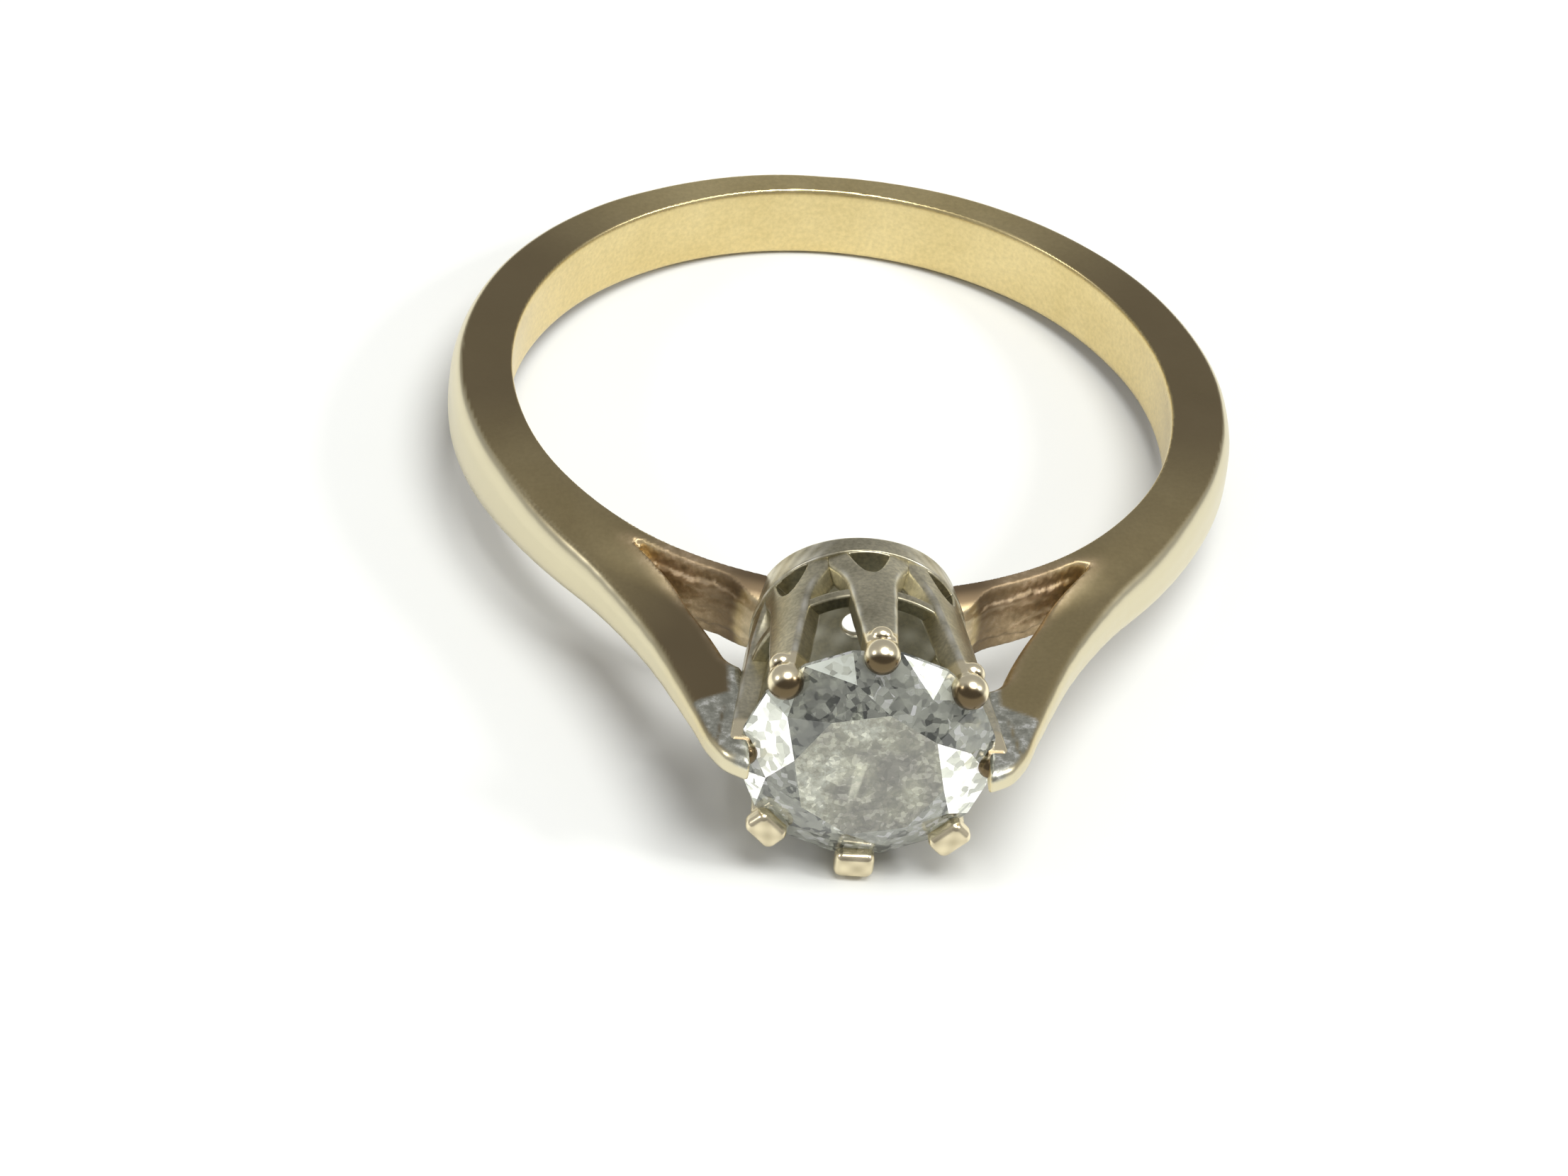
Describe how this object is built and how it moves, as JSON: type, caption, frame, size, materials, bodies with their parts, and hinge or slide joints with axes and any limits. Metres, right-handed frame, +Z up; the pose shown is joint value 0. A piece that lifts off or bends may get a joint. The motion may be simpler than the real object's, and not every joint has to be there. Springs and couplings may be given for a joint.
{
  "type": "engagement ring",
  "caption": "Engagement ring lying on its side: crowned gold band with forked shoulders, pierced claw coronet in white gold and a round brilliant stone.",
  "frame": {"origin": "centre of the footprint on the surface that the ring lies on, at that surface", "axes": "+Z up, -Y towards the head and stone, X across the band; the finger hole's axis leans 6.6 degrees from +Z towards +Y"},
  "size_m": [0.0202, 0.0244, 0.0074],
  "materials": {
    "yellow_gold": "worn satin yellow gold with fine scratches, brownish in the recesses",
    "white_gold": "worn bright white gold, polished claw tips",
    "gem": "polished facets, slightly hazy inside"
  },
  "bodies": {
    "root": {"shank": "yellow_gold", "shoulder_right": "yellow_gold", "shoulder_left": "yellow_gold", "base_ring": "white_gold", "gallery_rail": "white_gold", "claw_1": "white_gold", "claw_2": "white_gold", "claw_3": "white_gold", "claw_4": "white_gold", "claw_5": "white_gold", "claw_6": "white_gold", "claw_7": "white_gold", "claw_8": "white_gold", "stone": "gem"}
  },
  "joints": []
}
